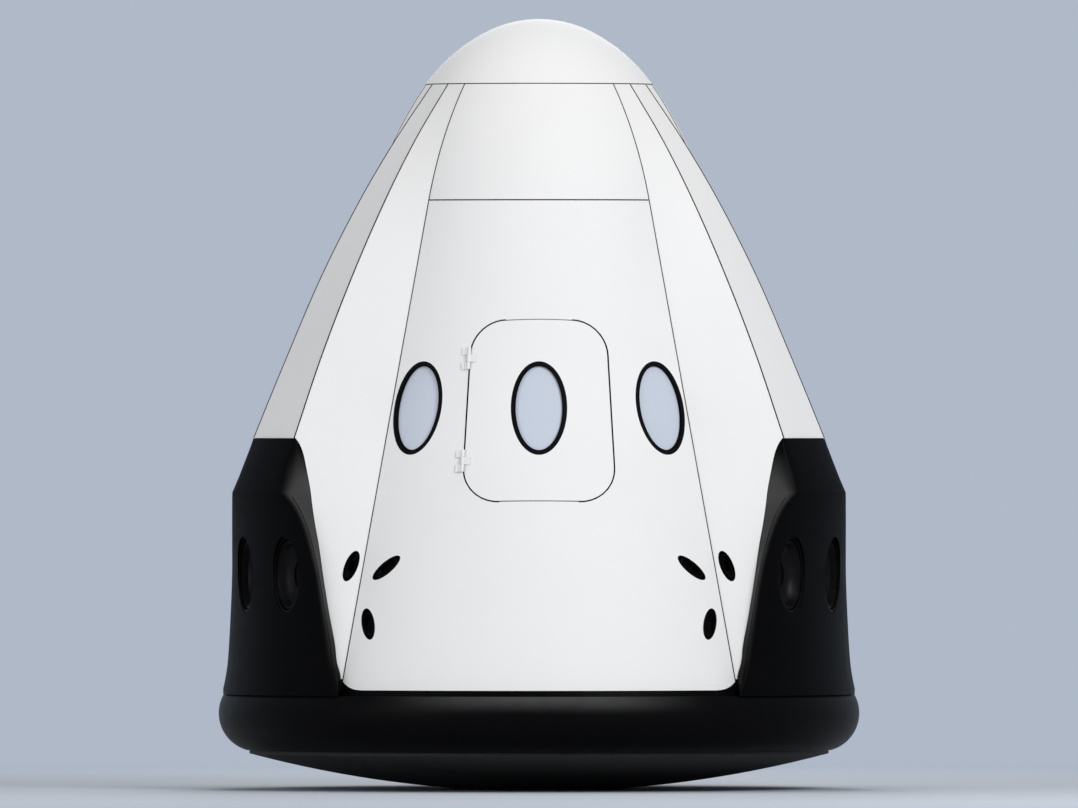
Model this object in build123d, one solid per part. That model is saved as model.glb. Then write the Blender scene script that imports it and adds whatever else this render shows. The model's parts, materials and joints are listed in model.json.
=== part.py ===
from build123d import *
import math
import os

# Driving sizes in millimetres. The capsule stands on Z = 0 and its side hatch faces -Y.
noseTopZ = 4812
skinBaseR = 1887
wallThick = 90
noseThick = 45
seamGap = 6
seatGap = 0.3

# The numbers below are as read from the picture, where the base is 1887 in radius and 631 high and the top is
# 4181 above it. wide and up() carry them to the two main sizes.
wide = skinBaseR / 1887
skinBaseZ = 631 * wide
tall = (noseTopZ - skinBaseZ) / 4181


def up(z):
    return skinBaseZ + (z - 631) * tall


# Outer skin, from the top: blunt nose cap of two arcs, ogive and straight cone
noseSeamZ = up(4400)
noseSeamR = 712 * wide
noseBlend = 1.56788
coverSeamZ = up(3675)
coverSeamR = 1053 * wide

# Panels are split at these angles from the front, and repeat behind by symmetry
podAngle = 61
podHalfAngle = 20.4
seamHalfAngle = 0.12

# Heat shield: a flat middle, a shallow dome and a rounded rim with a ledge on top
flatR = 450 * wide
domeR = 7000 * wide
domeEdgeR = 1810 * wide
domeTopZ = 300 * wide
rimCentreR = 1762 * wide
rimCentreZ = 475 * wide
rimTubeR = 240 * wide
rimFootR = 1831 * wide
rimInnerR = 1500 * wide
rimTopZ = 594 * wide

# Closed service section and cabin floor
serviceR = 1450 * wide
serviceTopZ = 760 * wide
floorThick = 40
floorClear = 12

# Side hatch, measured along the front of the cone, and its hinge on the left edge
hatchLowZ = up(1819)
hatchTopZ = up(2919)
hatchLowHalf = 475 * wide
hatchTopHalf = 409 * wide
hatchCornerR = 210 * wide
hatchDraft = 0.13
hingePinR = 6
hingeKnuckleR = 11
hingeOut = 14
hingeSide = 9
hingeLeafWide = 46
hingeKnuckleLong = 46
hingeEndGap = 1
hingeSpread = 0.6 * (hatchTopZ - hatchLowZ)
pinClear = 0.05

# Windows: one in the hatch and one on each side of it
windowZ = up(2381)
windowHalfWide = 175 * wide
windowHalfTall = 290 * tall
windowRing = 25
windowSideAngle = 32.6
windowMargin = 1
glassInset = 18
glassThick = 24

# Forward bulkhead, docking ring and the hatch that closes its tunnel
bulkheadThick = 24
tunnelR = 400 * wide
bulkheadHoleR = 380 * wide
ringOuterR = 470 * wide
ringFlangeR = 490 * wide
ringFlangeThick = 25
ringTall = 160 * tall
petalThick = 25 * wide
petalTall = 40 * tall
petalSpan = 44
forwardHatchR = 430 * wide
forwardHatchThick = 45
forwardHatchPlug = 10

# Nose hinge at the back
noseHingeOut = 38
noseKnuckleR = 24
nosePinR = 11
noseKnuckleLong = 120
noseLugLong = 60
noseLugDeep = 70

# Thruster outlets beside the hatch: sideways place, height, half length, half width, tilt
portReadings = (
    (1166, 1400, 101, 41, 112),
    (947, 1390, 110, 36, 139.3),
    (1060, 1041, 98, 41, 82.6),
)
portTable = [(x * wide, up(z), long * wide, half * wide, tilt) for x, z, long, half, tilt in portReadings]
portDeep = 62
portWall = 8
portSink = 5

# Pod fairing: height, distance of the ridge from the axis, half width of the ridge
fairingReadings = (
    (4376, 722, 103),
    (4056, 950, 129),
    (3675, 1186, 164),
    (3200, 1440, 199),
    (2700, 1671, 223),
)
fairingTable = [(up(z), ridgeD * wide, half * wide) for z, ridgeD, half in fairingReadings]

# Engine pod below it: height, ridge distance and half width carried on, share of the flank
# that stays white, distance and half width of the pod's outer face
podReadings = (
    (2194, 1885, 262, 0.95, 1884, 284),
    (1856, 2024, 277, 0.668, 2006, 339),
    (1775, 2058, 281, 0.613, 1966, 411),
    (1669, 2100, 287, 0.542, 1935, 468),
    (1525, 2158, 294, 0.449, 1908, 516),
    (1337, 2230, 304, 0.347, 1882, 564),
    (1087, 2322, 316, 0.221, 1865, 614),
    (806, 2422, 331, 0.095, 1852, 672),
    (690, 2464, 337, 0.014, 1843, 722),
    (631, 2485, 340, 0.014, 1838, 757),
)
podTable = []
for z, ridgeD, ridgeHalf, share, faceD, faceHalf in podReadings:
    podTable.append((up(z), ridgeD * wide, ridgeHalf * wide, share, faceD * wide, faceHalf * wide))
podTopZ = podTable[0][0]
podGap = 3
pocketStand = 25
pocketShare = 0.6
nozzleZ = up(1345)
nozzleSide = 265 * wide
nozzleHalfWide = 135 * wide
nozzleHalfTall = 235 * tall
nozzleFloorX = 1850 * wide
nozzleWall = 12

# Four seats in a row on one beam. The shell's side view is given as distance behind the axis and height.
seatWide = 400 * wide
seatPitch = 450 * wide
seatBackReadings = ((-470, 1285), (-430, 1200), (10, 1150), (120, 1210), (420, 1900), (380, 2010), (320, 2030))
seatFrontReadings = ((320, 2030), (300, 1960), (60, 1300), (-40, 1250), (-420, 1300), (-470, 1285))
seatBendR = 30 * min(wide, tall)
seatBeamZ = up(1080)
seatBeamTall = 70 * tall
seatBeamDeep = 120
seatLegX = 620 * wide

# Lines worked out from the sizes above
coneLength = math.hypot(skinBaseR - coverSeamR, coverSeamZ - skinBaseZ)
coneOut = (coverSeamZ - skinBaseZ) / coneLength
coneUp = (skinBaseR - coverSeamR) / coneLength
ogiveStepR = coverSeamR - noseSeamR
ogiveStepZ = noseSeamZ - coverSeamZ
ogiveChord = ogiveStepR**2 + ogiveStepZ**2
ogiveR = ogiveChord / (2 * (ogiveStepR * coneOut - ogiveStepZ * coneUp))
ogiveCentreR = coverSeamR - ogiveR * coneOut
ogiveCentreZ = coverSeamZ - ogiveR * coneUp

# Two arcs carry the ogive on over the top: noseBlend is the side arc's tangent over the crown arc's
seamOut = (noseSeamR - ogiveCentreR) / ogiveR
seamUp = (noseSeamZ - ogiveCentreZ) / ogiveR
noseRise = noseTopZ - noseSeamZ
bendA = 2 * noseBlend * (1 - seamUp)
bendB = noseSeamR * (noseBlend * seamUp + 1) + noseRise * noseBlend * seamOut
bendC = noseSeamR**2 + noseRise**2
crownTangent = (math.sqrt(bendB**2 + bendA * bendC) - bendB) / bendA
sideTangent = noseBlend * crownTangent
joinStepR = noseSeamR - sideTangent * seamUp - crownTangent
joinStepZ = noseRise - sideTangent * seamOut
crownUp = joinStepR / (crownTangent + sideTangent)
crownOut = joinStepZ / (crownTangent + sideTangent)
noseCrownR = crownTangent / math.tan(math.asin(crownOut) / 2)
crownZ = noseTopZ - noseCrownR
noseSideR = sideTangent / math.tan((math.asin(crownUp) - math.asin(seamUp)) / 2)
noseSideCentreR = noseSeamR - noseSideR * seamOut
noseSideCentreZ = noseSeamZ - noseSideR * seamUp
wallTopZ = noseSeamZ - bulkheadThick
ringTopZ = noseSeamZ + ringTall
frontHalfAngle = podAngle - podHalfAngle
sideHalfAngle = 90 - podAngle - podHalfAngle


def skinRadius(z, inset=0):
    joinZ = coverSeamZ - inset * coneUp
    if z > joinZ:
        return ogiveCentreR + math.sqrt((ogiveR - inset) ** 2 - (z - ogiveCentreZ) ** 2)
    return coverSeamR - inset * coneOut + (joinZ - z) * coneUp / coneOut


def noseRadius(z, inset=0):
    if z > crownZ + (noseCrownR - inset) * crownUp:
        return math.sqrt(max((noseCrownR - inset) ** 2 - (z - crownZ) ** 2, 0))
    return noseSideCentreR + math.sqrt((noseSideR - inset) ** 2 - (z - noseSideCentreZ) ** 2)


def arcBetween(radius, lowZ, highZ, inset):
    midZ = (lowZ + highZ) / 2
    low = (radius(lowZ, inset), lowZ)
    return ThreePointArc(low, (radius(midZ, inset), midZ), (radius(highZ, inset), highZ))


# One side of a wall's section, from a lower to an upper height
def skinLine(lowZ, highZ, inset):
    joinZ = coverSeamZ - inset * coneUp
    if lowZ >= joinZ:
        return [arcBetween(skinRadius, lowZ, highZ, inset)]
    topZ = min(highZ, joinZ)
    lines = [Line((skinRadius(lowZ, inset), lowZ), (skinRadius(topZ, inset), topZ))]
    if highZ > joinZ:
        lines.append(arcBetween(skinRadius, joinZ, highZ, inset))
    return lines


def turned(section, startAngle=0, span=360):
    return Rot(0, 0, startAngle - 90) * revolve(Plane.XZ * section, Axis.Z, span)


# Part of the wall between two angles, two heights and two depths under the skin
def skinBand(startAngle, endAngle, lowZ, highZ, outer=0, inner=wallThick):
    edges = skinLine(lowZ, highZ, outer) + skinLine(lowZ, highZ, inner)
    for z in (lowZ, highZ):
        edges.append(Line((skinRadius(z, outer), z), (skinRadius(z, inner), z)))
    return turned(make_face(edges), startAngle, endAngle - startAngle)


def panel(middle, halfAngle, lowZ, highZ):
    half = halfAngle - seamHalfAngle
    return skinBand(middle - half, middle + half, lowZ, highZ)


# Everything inside the wall, used to hollow the fairings
def innerCore():
    edges = skinLine(skinBaseZ - seamGap, noseSeamZ, wallThick)
    lowR = skinRadius(skinBaseZ - seamGap, wallThick)
    highR = skinRadius(noseSeamZ, wallThick)
    axis = [(highR, noseSeamZ), (0, noseSeamZ), (0, skinBaseZ - seamGap), (lowR, skinBaseZ - seamGap)]
    return turned(make_face(edges + [Polyline(*axis)]))


# A straight bar with an elliptic section, from the axis out through the front
def ovalBar(halfWide, halfTall, z, angle=0, tilt=0, x=0):
    oval = Pos(x, z) * Rot(0, 0, tilt) * Ellipse(halfWide, halfTall)
    return Rot(0, 0, angle) * extrude(Plane.XZ * oval, 2 * skinBaseR)


# Heat shield, rim and the ring that carries the walls
def heatShield():
    centreZ = math.sqrt(domeR**2 - flatR**2)
    edgeZ = centreZ - math.sqrt(domeR**2 - domeEdgeR**2)
    midR = (flatR + domeEdgeR) / 2
    mid = (midR, centreZ - math.sqrt(domeR**2 - midR**2))
    dome = ThreePointArc((flatR, 0), mid, (domeEdgeR, edgeZ))
    top = Polyline((domeEdgeR, edgeZ), (domeEdgeR, domeTopZ), (0, domeTopZ), (0, 0), (flatR, 0))
    return turned(make_face([dome, top]))


def rimEdge(z):
    return rimCentreR + math.sqrt(rimTubeR**2 - (z - rimCentreZ) ** 2)


def heatShieldRim():
    footZ = rimCentreZ - math.sqrt(rimTubeR**2 - (rimFootR - rimCentreR) ** 2)
    outside = ThreePointArc((rimFootR, footZ), (rimCentreR + rimTubeR, rimCentreZ), (rimEdge(rimTopZ), rimTopZ))
    notchR = domeEdgeR + seamGap
    inside = Polyline(
        (rimEdge(rimTopZ), rimTopZ),
        (rimInnerR, rimTopZ),
        (rimInnerR, domeTopZ),
        (notchR, domeTopZ),
        (notchR, footZ),
        (rimFootR, footZ),
    )
    return turned(make_face([outside, inside]))


def baseRing():
    corners = [
        (skinRadius(rimTopZ), rimTopZ),
        (skinRadius(skinBaseZ), skinBaseZ),
        (rimInnerR, skinBaseZ),
        (rimInnerR, rimTopZ),
    ]
    return turned(make_face(Polyline(*corners, close=True)))


def disc(radius, lowZ, highZ):
    return Pos(0, 0, (lowZ + highZ) / 2) * Cylinder(radius, highZ - lowZ)


# Pod sections lie across a frame whose X axis points outward along the pod's middle
def flankPoints(z, ridgeD, ridgeHalf, share):
    foot = math.radians(podHalfAngle - seamHalfAngle)
    outer = skinRadius(z)
    inner = skinRadius(z, wallThick + pocketStand)
    footOut = Vector(outer * math.cos(foot), outer * math.sin(foot))
    footIn = Vector(inner * math.cos(foot), inner * math.sin(foot))
    return footIn, footOut, footOut + (Vector(ridgeD, ridgeHalf) - footOut) * share


def pocketPoint(z, edge):
    return Vector(skinRadius(z) + pocketStand, edge.Y * pocketShare)


def mirroredFace(z, half):
    points = [(p.X, p.Y, z) for p in half]
    points += [(p.X, -p.Y, z) for p in reversed(half)]
    return make_face(Polyline(*points, close=True))


# White fairing: full ridge above, and below it two flanks round the engine pod's pocket
def podFairing():
    upper = []
    for z, ridgeD, ridgeHalf in fairingTable + [podTable[0][:3]]:
        z = min(z, wallTopZ)
        upper.append(mirroredFace(z, flankPoints(z, ridgeD, ridgeHalf, 1)))
    lower = []
    for z, ridgeD, ridgeHalf, share, faceD, faceHalf in podTable:
        half = flankPoints(z, ridgeD, ridgeHalf, share)
        lower.append(mirroredFace(z, half + (pocketPoint(z, half[2]),)))
    return loft(upper, ruled=True) + loft(lower, ruled=True) - innerCore()


# Black engine pod: it fills the pocket with a gap and its outer face is round
def podSection(row):
    z, ridgeD, ridgeHalf, share, faceD, faceHalf = row
    edge = flankPoints(z, ridgeD, ridgeHalf, share)[2]
    floor = pocketPoint(z, edge)
    side = (edge - floor).normalized()
    inward = Vector(side.Y, -side.X)
    edge = edge + inward * podGap
    floor = floor + Vector(podGap, -podGap)
    half = [floor, edge, Vector(faceD, faceHalf)]
    points = [(p.X, p.Y, z) for p in half]
    mirrored = [(p.X, -p.Y, z) for p in half]
    path = Polyline(points[2], points[1], points[0], mirrored[0], mirrored[1], mirrored[2])
    outer = ThreePointArc(mirrored[2], (math.hypot(faceD, faceHalf), 0, z), points[2])
    return make_face([path, outer])


def nozzleBar(sideways, grow):
    oval = Ellipse(nozzleHalfWide + grow, nozzleHalfTall + grow)
    return Pos(0, sideways, nozzleZ) * extrude(Plane.YZ * oval, 2 * skinBaseR)


def enginePod():
    faces = [podSection(row) for row in podTable]
    skirt = extrude(faces[-1], rimTopZ - skinBaseZ, dir=(0, 0, 1))
    skirt -= disc(skinRadius(rimTopZ) + podGap, 0, noseSeamZ)
    pod = loft(faces, ruled=True) + skirt
    pod -= Pos(0, 0, podTopZ) * Box(2 * noseTopZ, 2 * noseTopZ, 2 * podGap)
    for sideways in (-nozzleSide, nozzleSide):
        pod -= nozzleBar(sideways, 0) - disc(nozzleFloorX, 0, noseSeamZ)
    return pod


# Two oval engine outlets, each a cup sunk in the pod's outer face
def engineNozzles():
    faceR = min(math.hypot(row[4], row[5]) for row in podTable[2:]) - 2 * podGap
    cups = []
    for sideways in (-nozzleSide, nozzleSide):
        cup = nozzleBar(sideways, -seatGap) & disc(faceR, 0, noseSeamZ)
        cup -= disc(nozzleFloorX + seatGap, 0, noseSeamZ)
        hollow = nozzleBar(sideways, -nozzleWall) - disc(nozzleFloorX + nozzleWall, 0, noseSeamZ)
        cups.append(cup - hollow)
    return cups


# Thruster outlets on one corner. sideX and sideY are 1 or -1, for right and front.
def portBars(sideX, sideY, grow):
    bars = []
    for x, z, halfLong, halfWide, tilt in portTable:
        bar = ovalBar(halfLong + grow, halfWide + grow, z, 0, tilt, x)
        if sideX < 0:
            bar = mirror(bar, Plane.YZ)
        if sideY < 0:
            bar = mirror(bar, Plane.XZ)
        bars.append(bar)
    return bars


# A wall patch round one corner's outlets, between two depths
def portPatch(angle, outer, inner):
    lowZ = portTable[2][1] - 2 * portTable[2][2]
    highZ = portTable[0][1] + 2 * portTable[0][2]
    return skinBand(angle - podHalfAngle, angle + podHalfAngle, lowZ, highZ, outer, inner)


def portCuts(sideX, sideY, angle):
    reach = podTable[0][1] - skinRadius(podTopZ)
    return [bar & portPatch(angle, -reach, portDeep) for bar in portBars(sideX, sideY, 0)]


def portCups(sideX, sideY, angle):
    outers = [bar & portPatch(angle, portSink, portDeep - seatGap) for bar in portBars(sideX, sideY, -seatGap)]
    hollows = [bar & portPatch(angle, 0, portDeep - portWall) for bar in portBars(sideX, sideY, -portWall)]
    return [outer - hollow for outer, hollow in zip(outers, hollows)]


# Windows: oval ring through the wall and a pane inside it
def windowPatch(angle, outer, inner):
    half = math.degrees(math.asin(windowHalfWide / skinRadius(windowZ + windowHalfTall))) + windowMargin
    lowZ = windowZ - windowHalfTall - windowRing
    highZ = windowZ + windowHalfTall + windowRing
    return skinBand(angle - half, angle + half, lowZ, highZ, outer, inner)


def windowHole(angle):
    return ovalBar(windowHalfWide + seatGap, windowHalfTall + seatGap, windowZ, angle)


def windowFrame(angle):
    ring = ovalBar(windowHalfWide, windowHalfTall, windowZ, angle)
    ring -= ovalBar(windowHalfWide - windowRing, windowHalfTall - windowRing, windowZ, angle)
    return ring & windowPatch(angle, 0, wallThick)


def windowGlass(angle):
    inset = windowRing + seatGap
    pane = ovalBar(windowHalfWide - inset, windowHalfTall - inset, windowZ, angle)
    return pane & windowPatch(angle, glassInset, glassInset + glassThick)


# Side hatch: a drafted plug cut from the front wall
hatchMidZ = (hatchLowZ + hatchTopZ) / 2
hatchPlane = Plane(
    origin=(0, -skinRadius(hatchMidZ), hatchMidZ),
    x_dir=(1, 0, 0),
    z_dir=(0, -coneOut, coneUp),
)
hatchEdgeDrop = skinRadius(hatchMidZ) - math.sqrt(skinRadius(hatchMidZ) ** 2 - hatchLowHalf**2)


def hatchOutline(level, grow):
    out = grow + (level + hatchEdgeDrop) * hatchDraft
    tall = (hatchTopZ - hatchLowZ) / 2 / coneOut + out
    corners = [
        (-hatchLowHalf - out, -tall),
        (hatchLowHalf + out, -tall),
        (hatchTopHalf + out, tall),
        (-hatchTopHalf - out, tall),
    ]
    outline = make_face(Polyline(*corners, close=True))
    outline = fillet(outline.vertices(), hatchCornerR + out)
    return hatchPlane.offset(level) * outline


def hatchPlug(grow):
    levels = (wallThick, -hatchEdgeDrop - 2 * wallThick)
    return loft([hatchOutline(level, grow) for level in levels], ruled=True)


def sideHatch():
    return panel(0, frontHalfAngle, hatchLowZ - wallThick, hatchTopZ + wallThick) & hatchPlug(0)


# Hatch hinge: its line runs beside the hatch's left edge, just proud of the skin
def hatchEdgePoint(z, half):
    radius = skinRadius(z)
    edge = Vector(-half, -math.sqrt(radius**2 - half**2), z)
    return edge, Vector(edge.X / radius * coneOut, edge.Y / radius * coneOut, coneUp)


lowEdge, lowNormal = hatchEdgePoint(hatchLowZ, hatchLowHalf)
topEdge, topNormal = hatchEdgePoint(hatchTopZ, hatchTopHalf)
hingeUp = (topEdge - lowEdge).normalized()
hingeNormal = (lowNormal + topNormal).normalized()
hingeAcross = hingeUp.cross(hingeNormal).normalized()
hingeNormal = hingeAcross.cross(hingeUp)
hingeOrigin = (lowEdge + topEdge) / 2 + hingeNormal * hingeOut - hingeAcross * hingeSide
hingePlane = Plane(origin=hingeOrigin, x_dir=hingeNormal, z_dir=hingeUp)


# One knuckle with its flat leaf. side is 1 towards the hatch and -1 away from it.
def hingeKnuckle(step, long, side):
    barrel = Cylinder(hingeKnuckleR, long)
    leafDeep = hingeOut + hingeKnuckleR
    leaf = Pos(-leafDeep / 2, side * hingeLeafWide / 2, 0) * Box(leafDeep, hingeLeafWide, long)
    leaf -= Pos(0, side * hingeLeafWide, 0) * Box(hingeKnuckleR, hingeLeafWide, long)
    knuckle = hingePlane * Pos(0, 0, step) * (barrel + leaf)
    angle = math.degrees(math.asin(hatchLowHalf / skinRadius(hatchMidZ)))
    return knuckle - skinBand(-angle - podHalfAngle, 0, hatchLowZ, hatchTopZ, -seatGap, wallThick)


def hingeBar(step, radius, long):
    return hingePlane * Pos(0, 0, step) * Cylinder(radius, long)


def hatchHingeFrame():
    pieces = []
    apart = hingeKnuckleLong + hingeEndGap
    for step in (-hingeSpread / 2, hingeSpread / 2):
        piece = hingeBar(step, hingePinR, 3 * hingeKnuckleLong)
        for end in (step - apart, step + apart):
            piece += hingeKnuckle(end, hingeKnuckleLong, -1)
        pieces.append(piece)
    return pieces


def hatchHingeLeaf():
    pieces = []
    for step in (-hingeSpread / 2, hingeSpread / 2):
        bore = hingeBar(step, hingePinR + pinClear, 3 * hingeKnuckleLong)
        pieces.append(hingeKnuckle(step, hingeKnuckleLong, 1) - bore)
    return pieces


# Top end: bulkhead, docking ring, guide petals and the tunnel's hatch
def forwardBulkhead():
    corners = [
        (bulkheadHoleR, wallTopZ),
        (skinRadius(wallTopZ), wallTopZ),
        (noseSeamR, noseSeamZ),
        (bulkheadHoleR, noseSeamZ),
    ]
    return turned(make_face(Polyline(*corners, close=True)))


def dockingRing():
    corners = [
        (tunnelR, noseSeamZ),
        (ringOuterR, noseSeamZ),
        (ringOuterR, ringTopZ - ringFlangeThick),
        (ringFlangeR, ringTopZ - ringFlangeThick),
        (ringFlangeR, ringTopZ),
        (tunnelR, ringTopZ),
    ]
    return turned(make_face(Polyline(*corners, close=True)))


def dockingPetals():
    section = Pos(tunnelR + petalThick, ringTopZ + petalTall / 2) * Rectangle(petalThick, petalTall)
    return [turned(section, angle - petalSpan / 2, petalSpan) for angle in (0, 120, 240)]


def forwardHatch():
    plate = disc(forwardHatchR, wallTopZ - forwardHatchThick, wallTopZ)
    return plate + disc(bulkheadHoleR - seamGap, wallTopZ, wallTopZ + forwardHatchPlug)


# Nose cap: a shell with its open edge a seam's gap above the bulkhead
def noseCap():
    baseZ = noseSeamZ + seamGap
    edges = []
    for inset in (0, noseThick):
        joinZ = crownZ + (noseCrownR - inset) * crownUp
        edges.append(arcBetween(noseRadius, baseZ, joinZ, inset))
        edges.append(arcBetween(noseRadius, joinZ, noseTopZ - inset, inset))
    edges.append(Line((noseRadius(baseZ), baseZ), (noseRadius(baseZ, noseThick), baseZ)))
    edges.append(Line((0, noseTopZ), (0, noseTopZ - noseThick)))
    return turned(make_face(edges))


noseHingeY = noseSeamR + noseHingeOut
noseHingeZ = noseSeamZ + seamGap / 2


def noseHingeBar(x, radius, long):
    return Pos(x, noseHingeY, noseHingeZ) * Rot(0, 90, 0) * Cylinder(radius, long)


# A lug from the hinge line to the skin, above it or below it
def noseLug(x, long, up):
    deep = noseLugDeep + noseKnuckleR
    place = Pos(x, noseHingeY + noseKnuckleR - deep / 2, noseHingeZ + up * noseLugDeep / 2)
    block = place * Box(long, deep, noseLugDeep)
    block -= Pos(0, 0, noseHingeZ) * Box(2 * noseTopZ, 2 * noseTopZ, seamGap)
    return block + noseHingeBar(x, noseKnuckleR, long)


def noseHingeBracket():
    x = noseKnuckleLong / 2 + hingeEndGap + noseLugLong / 2
    bracket = noseHingeBar(0, nosePinR, 2 * x)
    for side in (-1, 1):
        bracket += noseLug(side * x, noseLugLong, -1)
    skin = skinBand(180 - podHalfAngle, 180 + podHalfAngle, coverSeamZ, wallTopZ, -seatGap, wallThick)
    return bracket - skin - disc(skinRadius(wallTopZ) + seatGap, wallTopZ, noseSeamZ)


def noseSolid(grow):
    joinZ = crownZ + (noseCrownR + grow) * crownUp
    topZ = noseTopZ + grow
    edges = [arcBetween(noseRadius, noseSeamZ, joinZ, -grow), arcBetween(noseRadius, joinZ, topZ, -grow)]
    edges.append(Polyline((0, topZ), (0, noseSeamZ), (noseRadius(noseSeamZ, -grow), noseSeamZ)))
    return turned(make_face(edges))


def noseHingeArm():
    arm = noseLug(0, noseKnuckleLong, 1) - noseSolid(seatGap)
    return arm - noseHingeBar(0, nosePinR + pinClear, 2 * noseKnuckleLong)


# Seats: a bent shell in side view, given a width
def seat(x):
    back = FilletPolyline(*[(y * wide, up(z)) for y, z in seatBackReadings], radius=seatBendR)
    front = Polyline(*[(y * wide, up(z)) for y, z in seatFrontReadings])
    side = make_face([back, front])
    return Pos(x - seatWide / 2, 0, 0) * extrude(Plane.YZ * side, seatWide)


def seatBeam():
    long = 3 * seatPitch + seatWide
    beam = Pos(0, 0, seatBeamZ + seatBeamTall / 2) * Box(long, seatBeamDeep, seatBeamTall)
    legTall = seatBeamZ - serviceTopZ - floorThick
    for x in (-seatLegX, seatLegX):
        beam += Pos(x, 0, seatBeamZ - legTall / 2) * Box(seatBeamDeep, seatBeamDeep, legTall)
    return beam


def save(name, shape):
    solids = shape if isinstance(shape, list) else [shape]
    parts = [solid for item in solids for solid in item.solids()]
    export_step(parts[0] if len(parts) == 1 else Compound(children=parts), f"parts/{name}.step")


def main():
    os.makedirs("parts", exist_ok=True)
    save("heat_shield", heatShield())
    save("heat_shield_rim", heatShieldRim())
    save("base_ring", baseRing())
    save("service_section", disc(serviceR, domeTopZ, serviceTopZ))
    floorTopZ = serviceTopZ + floorThick
    save("cabin_floor", disc(skinRadius(floorTopZ, wallThick) - floorClear, serviceTopZ, floorTopZ))

    fairing = podFairing()
    pod = enginePod()
    nozzles = engineNozzles()
    walls = {0: panel(0, frontHalfAngle, skinBaseZ, coverSeamZ - seamGap / 2)}
    walls[180] = panel(180, frontHalfAngle, skinBaseZ, coverSeamZ - seamGap / 2)
    corners = (
        ("front_right", 1, 1, podAngle),
        ("rear_right", 1, -1, 180 - podAngle),
        ("rear_left", -1, -1, 180 + podAngle),
        ("front_left", -1, 1, 360 - podAngle),
    )
    for name, sideX, sideY, angle in corners:
        turn = Rot(0, 0, angle - 90)
        middle = 180 - frontHalfAngle * sideX if sideY < 0 else frontHalfAngle * sideX
        cuts = portCuts(sideX, sideY, middle)
        face = 0 if sideY > 0 else 180
        cornerFairing = turn * fairing
        for cut in cuts:
            cornerFairing -= cut
            walls[face] -= cut
        save(f"pod_fairing_{name}", cornerFairing)
        save(f"engine_pod_{name}", turn * pod)
        save(f"engine_nozzles_{name}", [turn * cup for cup in nozzles])
        save(f"thruster_ports_{name}", portCups(sideX, sideY, middle))

    front = walls[0] - hatchPlug(seamGap)
    hatch = sideHatch() - windowHole(0)
    for name, angle in (("left", -windowSideAngle), ("right", windowSideAngle)):
        front -= windowHole(angle)
        save(f"window_frame_{name}", windowFrame(angle))
        save(f"window_glass_{name}", windowGlass(angle))
    save("front_panel", front)
    save("rear_panel", walls[180])
    for name, angle in (("front", 0), ("rear", 180)):
        save(f"{name}_cover", panel(angle, frontHalfAngle, coverSeamZ + seamGap / 2, wallTopZ))
    for name, angle in (("right", 90), ("left", 270)):
        save(f"{name}_panel", panel(angle, sideHalfAngle, skinBaseZ, wallTopZ))

    save("side_hatch", hatch)
    save("hatch_window_frame", windowFrame(0))
    save("hatch_window_glass", windowGlass(0))
    save("hatch_hinge_frame", hatchHingeFrame())
    save("hatch_hinge_leaf", hatchHingeLeaf())

    save("forward_bulkhead", forwardBulkhead())
    save("docking_ring", dockingRing())
    save("docking_petals", dockingPetals())
    save("forward_hatch", forwardHatch())
    save("nose_cap", noseCap())
    save("nose_hinge_bracket", noseHingeBracket())
    save("nose_hinge_arm", noseHingeArm())

    for number in range(4):
        save(f"seat_{number + 1}", seat((number - 1.5) * seatPitch))
    save("seat_beam", seatBeam())
    print("hatch hinge", hingeOrigin, hingeUp)


main()
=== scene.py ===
import json
import math

import bmesh
import bpy
from mathutils import Matrix, Vector


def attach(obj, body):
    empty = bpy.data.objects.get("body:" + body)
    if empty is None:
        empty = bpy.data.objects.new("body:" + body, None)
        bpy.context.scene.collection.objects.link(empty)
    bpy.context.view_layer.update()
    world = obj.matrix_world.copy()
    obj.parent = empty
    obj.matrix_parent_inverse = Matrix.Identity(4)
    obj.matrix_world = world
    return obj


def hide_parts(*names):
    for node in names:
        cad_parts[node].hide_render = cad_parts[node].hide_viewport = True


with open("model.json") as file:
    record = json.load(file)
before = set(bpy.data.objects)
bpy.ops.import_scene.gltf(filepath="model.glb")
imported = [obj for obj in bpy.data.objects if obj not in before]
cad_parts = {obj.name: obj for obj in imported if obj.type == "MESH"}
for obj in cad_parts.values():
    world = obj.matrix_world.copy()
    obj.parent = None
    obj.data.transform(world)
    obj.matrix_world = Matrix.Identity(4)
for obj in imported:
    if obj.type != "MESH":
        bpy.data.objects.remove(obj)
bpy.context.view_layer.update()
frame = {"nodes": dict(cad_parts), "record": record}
nodes = frame["nodes"]
print("frame loaded:", len(nodes), "nodes")

# the four pods: angle from the front, and the quarter of the capsule as right and front
corners = {"front_right": 61, "rear_right": 119, "rear_left": 241, "front_left": 299}
cornerSides = {"front_right": (1, 1), "rear_right": (1, -1), "rear_left": (-1, -1), "front_left": (-1, 1)}
bothSides = (-1, 1)

# the skin's line, in metres: cone below, ogive above
skin = dict(
    noseSeamZ=4.400, noseSeamR=0.712, coverSeamZ=3.675, coverSeamR=1.053, baseZ=0.631, baseR=1.887,
    wallTopZ=4.376, wall=0.090, podHalf=20.4, podAngle=61.0,
)
coneLength = math.hypot(skin["baseR"] - skin["coverSeamR"], skin["coverSeamZ"] - skin["baseZ"])
coneOut = (skin["coverSeamZ"] - skin["baseZ"]) / coneLength
coneUp = (skin["baseR"] - skin["coverSeamR"]) / coneLength
stepR = skin["coverSeamR"] - skin["noseSeamR"]
stepZ = skin["noseSeamZ"] - skin["coverSeamZ"]
ogiveR = (stepR**2 + stepZ**2) / (2 * (stepR * coneOut - stepZ * coneUp))
ogiveCentre = (skin["coverSeamR"] - ogiveR * coneOut, skin["coverSeamZ"] - ogiveR * coneUp)


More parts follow.
